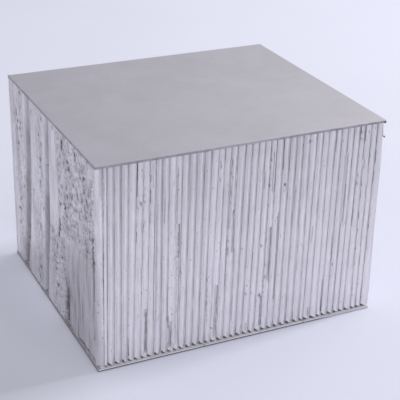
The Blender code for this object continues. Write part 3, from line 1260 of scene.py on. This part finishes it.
LEFT_RELIEF = OuterRelief(
    valleys=(
        ValleyMm(41.3, 1.0, 4.4, 2.6, 1.1, -20.0, 18.0),
        ValleyMm(64.2, 9.7, 3.0, 1.6, 2.0, bulge=2.6, curve=1.8),
        ValleyMm(94.0, 12.6, 4.4, 1.8, 2.2, bulge=3.2, curve=1.9),
    ),
    slots=(
        ValleyMm(4.8, 0.0, 0.6, 0.9, 0.9, 16.0, 62.0, 4.0),
        ValleyMm(39.9, 19.0, 1.1, 0.9, 1.0, 44.5, 54.5, 1.5, curve=1.0),
    ),
    dents=rows_of(DentMm, (
        (44.8, 72.6, 2.0, 0.5), (42.8, 66.0, 1.8, 0.5), (45.3, 87.0, 3.0, 0.3),
        (36.0, 88.0, 2.6, 0.45), (34.4, 84.8, 3.2, 0.6, 1.4), (49.0, 57.5, 4.0, 0.6),
        (47.5, 62.0, 3.0, 0.35), (48.2, 68.0, 4.0, 0.35), (48.0, 74.0, 3.0, 0.35),
        (41.0, 63.5, 4.5, 0.5), (39.3, 59.6, 2.6, 0.7, 1.8), (42.8, 57.0, 2.0, 0.6, 1.6),
        (37.7, 54.0, 2.6, 0.4), (29.2, 79.3, 2.4, 0.4), (30.4, 68.6, 2.6, 0.55, 1.2),
        (26.0, 68.4, 2.6, 0.45), (31.2, 72.4, 4.5, 0.4), (32.0, 63.0, 2.6, 0.35),
        (37.0, 70.0, 4.0, 0.35), (37.6, 75.0, 2.6, 0.3), (25.6, 94.0, 6.5, 0.45, 1.4),
        (19.6, 88.3, 5.0, 0.55), (19.9, 83.2, 2.6, 0.6), (22.4, 84.3, 2.4, 0.35),
        (15.5, 86.8, 5.5, 0.55), (15.4, 82.2, 3.6, 0.5), (23.8, 76.8, 7.0, 0.45),
        (18.4, 76.6, 3.8, 0.4), (18.9, 71.3, 2.2, 0.4), (20.9, 67.8, 6.0, 0.4),
        (14.2, 74.2, 3.8, 0.4), (11.2, 78.3, 5.5, 0.5), (8.8, 66.8, 2.6, 0.5),
        (8.4, 63.8, 6.0, 0.4), (14.3, 64.6, 2.0, 0.3), (23.8, 58.6, 5.5, 0.5),
        (26.6, 60.0, 3.0, 0.4), (13.9, 58.2, 4.0, 0.35), (13.1, 54.6, 2.2, 0.4),
        (5.9, 85.2, 6.0, 0.3), (7.2, 75.2, 2.4, 0.35), (10.0, 97.6, 3.0, 0.4),
        (34.5, 93.6, 3.5, 0.3), (43.0, 93.0, 8.0, 0.35, 2.2), (55.2, 97.0, 2.8, 0.4),
        (53.8, 37.0, 4.6, 0.5, 1.3), (48.0, 34.0, 2.6, 0.5), (46.6, 30.5, 2.2, 0.3),
        (55.6, 27.2, 3.0, 0.4), (56.8, 23.8, 3.0, 0.4), (54.8, 15.8, 3.4, 0.6, 1.3),
        (57.8, 10.2, 3.0, 0.45), (58.6, 7.4, 4.0, 0.35), (50.8, 29.5, 2.6, 0.3),
        (17.6, 2.7, 2.0, 0.5, 10.0), (40.6, 2.5, 2.0, 0.5, 4.2), (7.0, 2.6, 2.2, 0.4, 3.5),
        (72.2, 95.0, 2.8, 0.5, 1.2), (73.0, 82.2, 2.6, 0.55), (76.4, 86.0, 3.0, 0.3),
        (75.8, 73.0, 3.6, 0.35), (76.8, 69.0, 3.0, 0.4), (76.8, 60.0, 6.5, 0.4),
        (73.3, 48.2, 2.4, 0.4), (79.5, 41.5, 3.0, 0.5), (79.3, 35.2, 5.0, 0.5),
        (83.3, 21.8, 3.2, 0.4), (83.0, 16.6, 5.0, 0.3), (81.3, 12.0, 2.8, 0.5),
        (85.2, 9.0, 2.6, 0.35), (83.3, 6.0, 3.4, 0.5, 1.4), (88.2, 51.6, 3.0, 0.25),
        (87.6, 93.0, 5.0, 0.3), (112.7, 84.0, 6.0, 0.35), (111.4, 80.0, 2.0, 0.45),
        (106.8, 80.5, 2.0, 0.45, 1.6), (106.2, 88.0, 4.0, 0.35), (107.8, 77.0, 3.0, 0.35),
        (113.0, 76.0, 5.0, 0.3), (110.8, 90.2, 3.0, 0.35), (105.6, 96.6, 3.0, 0.3),
        (112.0, 68.0, 2.6, 0.25, 2.5), (112.2, 37.0, 2.2, 0.35, 2.0),
        (114.2, 30.0, 2.0, 0.45, 3.0), (108.8, 26.0, 2.0, 0.35, 1.6),
        (115.2, 22.0, 3.0, 0.40, 1.6), (104.6, 47.0, 3.0, 0.25, 1.6),
    )),
    ridges=rows_of(DentMm, (
        (34.6, 10.0, 22.0, 0.7, 1.2), (29.0, 4.0, 9.0, 0.8, 1.6), (45.4, 21.0, 16.0, 0.8, 1.6),
        (6.6, 12.0, 26.0, 0.7, 1.1), (1.2, 40.0, 90.0, 0.6, 1.4), (51.5, 80.0, 40.0, 0.5, 2.2),
        (61.0, 50.0, 90.0, 0.4, 1.6),
    )),
    bark=(
        PatchMm(4.0, 49.0, 50.0, 110.0, 3.5), PatchMm(44.0, 60.0, 0.0, 42.0, 4.0),
        PatchMm(72.0, 80.0, 50.0, 120.0, 2.0, 0.4), PatchMm(77.0, 87.0, -20.0, 52.0, 2.0, 0.4),
        PatchMm(102.0, 117.0, -20.0, 120.0, 3.0, 0.4),
    ),
    streaks=(
        PatchMm(5.0, 44.0, -10.0, 54.0, 5.0), PatchMm(69.0, 90.0, -20.0, 120.0, 3.0, 0.35),
        PatchMm(98.0, 124.0, -20.0, 120.0, 3.0, 0.45),
    ),
    bridges=(PatchMm(64.0, 67.5, 74.3, 75.2, 0.7),),
)


@dataclass(frozen=True)
class OuterFoil:
    """The ribbon of the left face, which turns round both corners of the block."""

    layout: CoreLayout
    relief: OuterRelief
    lap: float = 0.5 * MM
    crown: float = 0.55
    corner: float = 0.75 * MM
    back_corner: float = 0.30 * MM
    chamfer: float = 3.4 * MM
    columns: int = 190
    rows: int = 150

    def plan(self, share: float, height: float) -> tuple[float, float, float]:
        """Follow the foil round the two corners, seen from above.

        Args:
            share: Share of the way from the front turn's end to the back turn's end.
            height: Height above the underside.

        Returns:
            X, Y, and how far from a corner the place is, from 0 at a corner to 1 away from it.
        """
        depth = self.layout.back - self.layout.front
        front_turn = self.layout.line(1, height, Side.FRONT) - self.layout.left
        back_turn = self.layout.line(1, height, Side.BACK) - self.layout.left
        along = share * (front_turn + back_turn + 2 * self.lap + depth) - front_turn - self.lap
        off_front = max(0.0, -along)
        off_back = max(0.0, along - depth)
        inside = min(max(along, 0.0), depth)
        nearest = min(abs(along), abs(along - depth))
        corner = self.corner if along < depth / 2 else self.back_corner
        ease = smooth(0.0, corner, nearest)
        round_off = 0.29 * corner * (1.0 - ease)
        fold = CORNER_VALLEY * wave((off_front / front_turn - self.crown) / (1.0 - self.crown))
        fold -= CORNER_VALLEY * wave((off_back / back_turn - self.crown) / (1.0 - self.crown))
        y = self.layout.front + inside + fold
        y += round_off if along < depth / 2 else -round_off
        low = smooth(0.95, 0.15, (height - self.layout.bottom) / (self.layout.top - self.layout.bottom))
        cut = 0.75 * max(0.0, self.chamfer * low - inside) * (1.0 - min(1.0, off_front / front_turn))
        return self.layout.left + off_front + off_back + round_off + cut, y, ease

    def place(self, share: float, up: float) -> Placed:
        """Put a grid point on the face.

        Args:
            share: Share of the way from the front turn's end to the back turn's end.
            up: Share of the way up the core.

        Returns:
            The point and its grime.
        """
        layout = self.layout
        length = (layout.back - layout.front) / MM
        height = mix(layout.bottom - END_REACH, layout.top + END_REACH, up)
        x, y, away = self.plan(share, height)
        along_mm = (y - layout.front) / MM
        onto_face = smooth(0.3, 1.5, along_mm) * smooth(length - 0.3, length - 1.5, along_mm)
        on_turn = smooth(0.6 * MM, 1.0 * MM, x - layout.left)
        deep, shade_and_wear = self.relief.depth(along_mm, height / MM)
        x += deep * MM * onto_face * (1.0 - on_turn)
        x += 0.06 * MM * wander(height / MM * 0.07, 0.0, 77.0) - 0.16 * MM
        # Painted shade from the relief, in the corner fold where the turned foil meets the next flute, and on
        # the turn near the top. The foil is a little darker away from the corners.
        shade_and_soil = shade_and_wear * onto_face * (1.0 - on_turn)
        if y < 0.0:
            turned = (x - layout.left) / (layout.line(1, height, Side.FRONT) - layout.left)
            gap = smooth(80.0, 88.0, height / MM) * smooth(0.40, 0.60, turned)
            shade_and_soil += on_turn * max(0.40 * smooth(0.80, 1.0, turned), 0.40 * gap)
        return Vector((x, y, height)), min(1.0, shade_and_soil + 0.06 * away)


class FoilCore:
    """The stack of ribbons between the skins."""

    FRONT_GRID = (19, 138)
    BACK_GRID = (12, 76)
    BODY_GRID = (40, 10)
    END_GRID = (190, 90)

    def __init__(self, layout: CoreLayout, flute: bpy.types.Material, face: bpy.types.Material) -> None:
        """Keep the layout and the two foil materials."""
        self.layout = layout
        self.flute = flute
        self.face = face

    def reaches(self, number: int) -> tuple[float, float]:
        """Return how far a ribbon's wave swings to the left and to the right of its root."""
        left = right = self.layout.reach
        if number == 2:
            low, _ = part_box("ribbon_02")
            left = min(left, self.layout.root(2) - low.x - FOIL / 2)
        if number == FLUTED_RIBBONS[-1]:
            right = self.layout.right - self.layout.root(number)
        return left, right

    def bent_edge(self, number: int, side: Side, marks_of: Callable[[int], Marks],
                  grid: tuple[int, int]) -> BentEdge:
        """Return one bent edge of a ribbon, with its face's marks and a grid of faces across and along."""
        return BentEdge(
            self.layout, number, side, marks_of(number), marks_of(number + 1),
            valley_depth(marks_of, number - 1) - EDGE_RISE, valley_depth(marks_of, number), *grid)

    def build_ribbon(self, number: int) -> bpy.types.Object:
        """Build one fluted ribbon.

        Args:
            number: The ribbon's number, which its node's name ends with.

        Returns:
            The piece that stands for the ribbon's node.
        """
        work = FoilWork()
        left, right = self.reaches(number)
        front = self.bent_edge(number, Side.FRONT, front_marks, self.FRONT_GRID)
        back = self.bent_edge(number, Side.BACK, back_marks, self.BACK_GRID)
        body = RibbonBody(self.layout, number, left, right, front.root_depth, back.root_depth)
        grid = self.END_GRID if number == FLUTED_RIBBONS[-1] else self.BODY_GRID
        work.add_sheet(*grid, body.place)
        for edge in (front, back):
            work.add_sheet(edge.columns, edge.rows, edge.place, edge.is_torn)
        node = f"ribbon_{number:02d}"
        piece = work.finish("foil_" + node, FOIL, [self.flute])
        stand_for(piece, node)
        return piece

    def build_outer(self) -> bpy.types.Object:
        """Build the left face's ribbon.

        Returns:
            The piece that stands for ribbon_01.
        """
        work = FoilWork()
        outer = OuterFoil(self.layout, LEFT_RELIEF)
        work.add_sheet(outer.columns, outer.rows, outer.place)
        piece = work.finish("foil_ribbon_01", FOIL, [self.face])
        stand_for(piece, "ribbon_01")
        return piece

    def build_sliver(self) -> bpy.types.Object:
        """Build the loose sliver of foil that curls out at the top of the right end.

        Returns:
            The piece.
        """
        top = self.layout.top
        room = CAD_BOX[1].x - 0.12 * MM
        start = self.layout.line(FLUTED_RIBBONS[-1], top, Side.FRONT) - 0.1 * MM

        def place(across: float, down: float) -> Placed:
            """Put a grid point on the sliver, which narrows and hooks outwards."""
            hook = smooth(0.60, 0.90, down)
            wide = mix(0.8 * MM, 0.55 * MM, down) * (2.0 * across - 1.0)
            y = self.layout.front + mix(1.0, -0.2, hook) * MM + wide * (1.0 - hook)
            x = start + 0.5 * MM * math.sin(down * 2.2) + (room - start) * smooth(0.50, 1.0, down)
            z = top - 6.6 * MM * smooth(-0.2, 0.75, down) + wide * hook
            return Vector((min(x, room), y, z)), 0.15 + 0.85 * smooth(0.15, 0.40, down)

        work = FoilWork()
        work.add_sheet(4, 28, place)
        piece = work.finish("foil_sliver", FOIL, [self.flute])
        ride_on(piece)
        return piece

    def build(self) -> list[bpy.types.Object]:
        """Build every ribbon and the sliver."""
        pieces = [self.build_outer()]
        pieces += [self.build_ribbon(number) for number in FLUTED_RIBBONS]
        pieces.append(self.build_sliver())
        return pieces


def crowded(share: float) -> float:
    """Return a share moved towards its nearer end, so that a grid is finer along its edges."""
    return share - EDGE_CROWDING * math.sin(2.0 * math.pi * share) / (2.0 * math.pi)


@dataclass(frozen=True)
class Plate:
    """A rectangular sheet in the place of a node: a skin or a line of adhesive.

    Its front edge is rubbed, and bitten back by the depth given, between two shares of its width.
    """

    node: str
    name: str
    low: Vector
    high: Vector
    slot: Slot
    edge_wander: float
    edge_inset: float
    flatness: float
    rounding: float
    columns: int
    rows: int
    bitten: float = 0.0
    rubbed: tuple[float, float] = (2.0, 3.0)

    def sway(self, place: float, seed: float) -> float:
        """Return how far an edge stands in from its node's at a place along it."""
        share = 0.5 + 0.5 * wander(place / MM * 0.16, seed, self.low.z / MM)
        return self.edge_inset + self.edge_wander * share

    def place(self, across: float, along: float) -> Placed:
        """Put a grid point on the middle of the sheet, with its edges wandering inwards.

        Args:
            across: Share of the way from the left to the right.
            along: Share of the way from the front to the back.

        Returns:
            The point, and 1 where its edge is rubbed.
        """
        across = crowded(across)
        along = crowded(along)
        size = self.high - self.low
        x = mix(self.low.x, self.high.x, across)
        y = mix(self.low.y, self.high.y, along)
        sway_x = self.sway(y, 1.0)
        sway_y = self.sway(x, 2.0)
        x += sway_x * (smooth(0.02, 0.0, across) - smooth(0.98, 1.0, across))
        y += sway_y * (smooth(0.02, 0.0, along) - smooth(0.98, 1.0, along))
        ragged = 1.0 + 0.5 * wander(x / MM * 0.5, 4.0, 1.0)
        rubbed = band(*self.rubbed, 0.05, across)
        y += self.bitten * ragged * rubbed * smooth(0.02, 0.0, along)
        middle = (self.low.z + self.high.z) / 2
        lift = self.flatness * wander(x / MM * 0.035, y / MM * 0.035, size.z / MM)
        return Vector((x, y, middle + lift)), rubbed * smooth(0.004, 0.0, along)

    def build(self, materials: list[bpy.types.Material]) -> bpy.types.Object:
        """Build the sheet.

        Args:
            materials: The faces' material and the cut edges' material.

        Returns:
            The piece that stands for the node.
        """
        work = FoilWork()
        work.add_sheet(self.columns, self.rows, self.place)
        piece = work.finish(self.name, self.high.z - self.low.z - 2 * self.flatness, materials)
        bevel = piece.modifiers.new("broken_edges", "BEVEL")
        bevel.width = self.rounding
        bevel.segments = 2
        bevel.limit_method = "ANGLE"
        bevel.angle_limit = BEVEL_ABOVE
        bevel.material = len(materials) - 1
        freeze(piece, SHEET_SHARP)
        stand_for(piece, self.node)
        return piece


class Facings:
    """The two skins and the adhesive that bonds them to the core."""

    def __init__(self, layout: CoreLayout, effects: Effects) -> None:
        """Make the materials of the skins and the adhesive."""
        self.layout = layout
        sheet = SKIN_FINISH.material(effects)
        self.top = [sheet, TOP_EDGE_FINISH.material(effects)]
        self.bottom = [sheet, BOTTOM_EDGE_FINISH.material(effects)]
        self.glue = [GLUE_FINISH.material(effects)]
        self.burr = BURR_FINISH.material(effects)

    def skin_plate(self, node: str, rounding: float) -> Plate:
        """Return a skin as large as its node, with its edges rounded over by a radius."""
        low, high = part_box(node)
        return Plate(node, node + "_sheet", low, high, Slot.SKIN, 0.12 * MM, 0.0, 0.03 * MM, rounding, 72, 62)

    def glue_plate(self, node: str, low_z: float, high_z: float, inset: float) -> Plate:
        """Return a line of adhesive between a skin and the core, inset from the skin's edge."""
        low, high = CAD_BOX[0].copy(), CAD_BOX[1].copy()
        low.x += 1.2 * MM
        low.z = low_z
        high.z = high_z
        return Plate(node, node + "_line", low, high, Slot.ADHESIVE, 0.35 * MM, inset, 0.0, 0.1 * MM, 60, 52)

    def build(self) -> list[bpy.types.Object]:
        """Build the skins and the adhesive."""
        _, bottom_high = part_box("bottom_skin")
        top_low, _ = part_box("top_skin")
        bottom_glue = self.glue_plate(
            "bottom_adhesive_film", bottom_high.z, self.layout.bottom - 0.6 * MM, 0.1 * MM)
        top = self.skin_plate("top_skin", 0.32 * MM)
        top_glue = self.glue_plate("top_adhesive_film", self.layout.top, top_low.z, 1.9 * MM)
        return [
            replace(self.skin_plate("bottom_skin", 0.10 * MM), rubbed=(0.84, 1.0)).build(self.bottom),
            bottom_glue.build(self.glue),
            top_glue.build(self.glue),
            replace(top, low=top.low - Vector((0.0, 0.0, 0.30 * MM)), bitten=0.25 * MM,
                    rubbed=(0.42, 0.57)).build(self.top),
            self.build_burr(),
        ]

    def build_burr(self) -> bpy.types.Object:
        """Build the dark burr that hangs at the top skin's right front corner.

        Returns:
            The piece.
        """
        low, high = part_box("top_skin")

        def place(across: float, down: float) -> Placed:
            """Put a grid point on the burr, which is rounded at its top and bottom."""
            half = math.cos(1.3 * (2.0 * down - 1.0))
            x = high.x - 0.25 * MM - 1.5 * MM * across * half
            y = low.y + 0.08 * MM + 0.30 * MM * (1.0 - half)
            return Vector((x, y, high.z - 0.85 * MM + 0.75 * MM * (2.0 * down - 1.0))), 0.0

        work = FoilWork()
        work.add_sheet(6, 10, place)
        piece = work.finish("skin_corner_burr", FOIL, [self.burr])
        ride_on(piece)
        return piece


@dataclass(frozen=True)
class PhotoCamera:
    """The camera, placed by the corners of the block in the photograph."""

    position: Vector
    heading: float
    drop: float
    roll: float
    lens: float

    def build(self) -> bpy.types.Object:
        """Make the camera the scene's own.

        Returns:
            The camera object.
        """
        ahead = Vector((math.sin(self.heading) * math.cos(self.drop),
                        math.cos(self.heading) * math.cos(self.drop), -math.sin(self.drop)))
        level = Vector((math.cos(self.heading), -math.sin(self.heading), 0.0))
        upright = level.cross(ahead)
        right = level * math.cos(self.roll) + upright * math.sin(self.roll)
        above = right.cross(ahead)
        data = bpy.data.cameras.new("photo_camera")
        data.sensor_width = 36.0
        data.lens = self.lens
        data.clip_start = 0.01
        data.clip_end = 50.0
        camera = new_object("photo_camera", data)
        turned = Matrix((right, above, -ahead)).transposed().to_4x4()
        camera.matrix_world = Matrix.Translation(self.position) @ turned
        bpy.context.scene.camera = camera
        return camera


@dataclass(frozen=True)
class Studio:
    """A pale floor, one soft lamp at the right and pale walls all round.

    The floor has a painted shadow: it is a little darker at the near left, past its shade edge along the
    slope. Beside the left face it is lighter, in an oval of painted light that stands for the foil's glow on
    the paper. The walls pass from one tone to the next between two parts of a direction, along Y or X.
    """

    floor_size: float = 8.0
    floor_colour: Colour = (0.722, 0.741, 0.885)
    floor_slope: Vector = Vector((0.8, 0.6, 0.0))
    floor_drop: float = 0.24 * MM
    shade_edge: tuple[float, float] = (-0.135, -0.095)
    glow_spread: Vector = Vector((30.0, 12.5, 0.0))
    glow_shift: Vector = Vector((1.9, -0.2, 0.0))
    ambient: Colour = (0.645, 0.635, 0.620)
    ambient_right: Colour = (0.49, 0.48, 0.47)
    far_wall: Colour = (0.60, 0.60, 0.65)
    near_wall: Colour = (0.54, 0.54, 0.58)
    lamp_side: Colour = (0.96, 0.96, 1.01)
    far_from: tuple[float, float] = (-0.6, 0.5)
    lamp_side_from: tuple[float, float] = (0.1, 0.70)
    ambient_from: tuple[float, float] = (-0.5, 0.6)
    lamp_colour: Colour = (1.0, 0.985, 0.97)
    lamp_distance: float = 1.7
    lamp_height: float = math.radians(42)
    lamp_turn: float = math.radians(0.0)
    lamp_size: float = 0.26
    lamp_power: float = 12.1
    fill_place: Vector = Vector((-0.3, -1.2, 1.6))
    fill_size: float = 1.2
    fill_power: float = 5.3
    back_turn: float = math.radians(22)
    back_size: float = 1.0
    back_power: float = 3.5

    def build_floor(self, effects: Effects) -> bpy.types.Object:
        """Lay the floor just under the panel.

        Args:
            effects: The shared node groups.

        Returns:
            The floor, which is part of the stage.
        """
        bm = bmesh.new()
        bmesh.ops.create_grid(bm, x_segments=4, y_segments=4, size=self.floor_size / 2)
        mesh = bpy.data.meshes.new("pale_floor")
        bm.to_mesh(mesh)
        bm.free()
        mesh.transform(Matrix.Translation((0.0, 0.0, -self.floor_drop)))
        floor = new_object("pale_floor", mesh)
        made, graph, place = new_material("pale_paper")
        clouds = graph.group(effects.clouds, Position=place, Scale=6.0)
        colour, faint, shaded, glowing = [
            full(scaled(self.floor_colour, share)) for share in (1.0, 0.985, 0.92, 1.20)]
        # Painted shadow: the paper is darker at the near left, past the shade edge along the slope.
        shade = graph.ramp(graph.vectors("DOT_PRODUCT", place, self.floor_slope).outputs["Value"],
                           *self.shade_edge, 0.0, 1.0)
        paper = graph.blend(shade, shaded, graph.blend(clouds, faint, colour))
        # Painted light: an oval of lighter paper beside the left face, where the foil's glow falls.
        spread = graph.vectors("MULTIPLY_ADD", place, self.glow_spread, self.glow_shift)
        reach = graph.vectors("LENGTH", spread.outputs[0])
        glow = graph.ramp(reach.outputs["Value"], 0.0, 1.0, 1.0, 0.0)
        shader = graph.fill(
            graph.add("ShaderNodeBsdfPrincipled"), Base_Color=graph.blend(glow, paper, glowing),
            Roughness=0.85, Specular_IOR_Level=0.2)
        graph.show(shader, "ShaderNodeOutputMaterial")
        mesh.materials.append(made)
        return floor

    def build_walls(self) -> bpy.types.World:
        """Make the pale room: one tone lights the panel, and the walls show in its metal.

        Returns:
            The world.
        """
        world = bpy.data.worlds.new("pale_room")
        world.use_nodes = True
        graph = Graph(world.node_tree)
        facing = graph.feed(
            graph.add("ShaderNodeSeparateXYZ"), graph.add("ShaderNodeTexCoord").outputs["Generated"])
        far = graph.ramp(facing.outputs["Y"], *self.far_from, 0.0, 1.0)
        rightward = graph.ramp(facing.outputs["X"], *self.lamp_side_from, 0.0, 1.0)
        far_walls = graph.blend(rightward, full(self.far_wall), full(self.lamp_side))
        sideways = graph.ramp(facing.outputs["X"], *self.ambient_from, 0.0, 1.0)
        ambient = graph.blend(sideways, full(self.ambient), full(self.ambient_right))
        walls = graph.blend(far, full(self.near_wall), far_walls)
        rays = graph.add("ShaderNodeLightPath")
        seen = graph.maths("MAXIMUM", rays.outputs["Is Camera Ray"], rays.outputs["Is Glossy Ray"])
        seen = graph.maths("MAXIMUM", seen, rays.outputs["Is Transmission Ray"])
        light = graph.fill(graph.add("ShaderNodeBackground"), Color=graph.blend(seen, ambient, walls))
        graph.show(light, "ShaderNodeOutputWorld")
        bpy.context.scene.world = world
        return world

    def build_lamp(self, name: str, place: Vector, size: float, power: float) -> bpy.types.Object:
        """Hang a soft square lamp that faces the panel.

        Args:
            name: Name of the lamp.
            place: Middle of the lamp.
            size: Length of its sides.
            power: Its power in watts.

        Returns:
            The lamp.
        """
        data = bpy.data.lights.new(name, "AREA")
        data.shape = "SQUARE"
        data.size = size
        data.energy = power
        data.color = self.lamp_colour
        lamp = new_object(name, data)
        lamp.location = place
        lamp.rotation_euler = place.to_track_quat("Z", "Y").to_euler()
        return lamp

    def lamp_place(self, turn: float) -> Vector:
        """Return the place of a lamp at the right, turned towards the back by an angle."""
        level = math.cos(self.lamp_height)
        towards = Vector((level * math.cos(turn), level * math.sin(turn), math.sin(self.lamp_height)))
        return towards * self.lamp_distance

    def build(self, effects: Effects) -> None:
        """Build the floor, the walls and the lamps."""
        self.build_floor(effects)
        self.build_walls()
        self.build_lamp("soft_lamp", self.lamp_place(self.lamp_turn), self.lamp_size, self.lamp_power)
        self.build_lamp("back_lamp", self.lamp_place(self.back_turn), self.back_size, self.back_power)
        self.build_lamp("front_fill", self.fill_place, self.fill_size, self.fill_power)


def report(pieces: list[bpy.types.Object]) -> None:
    """Log each piece with its number of triangles."""
    for piece in pieces:
        triangles = sum(len(face.vertices) - 2 for face in piece.data.polygons)
        LOG.info("%s: %d triangles", piece.name, triangles)


def main() -> None:
    """Build the panel's looks, the studio and the camera."""
    logging.basicConfig(level=logging.INFO, format="%(name)s: %(message)s")
    bpy.context.scene.view_settings.view_transform = "Standard"
    PhotoCamera(
        position=Vector((-0.21510, -0.45712, 0.28500)), heading=math.radians(25.92),
        drop=math.radians(25.39), roll=math.radians(1.46), lens=100.50).build()
    effects = Effects()
    layout = CoreLayout.from_frame()
    core = FoilCore(layout, FLUTE_FINISH.material(effects), FACE_FINISH.material(effects))
    report(core.build())
    report(Facings(layout, effects).build())
    Studio().build(effects)


if __name__ == "__main__":
    main()
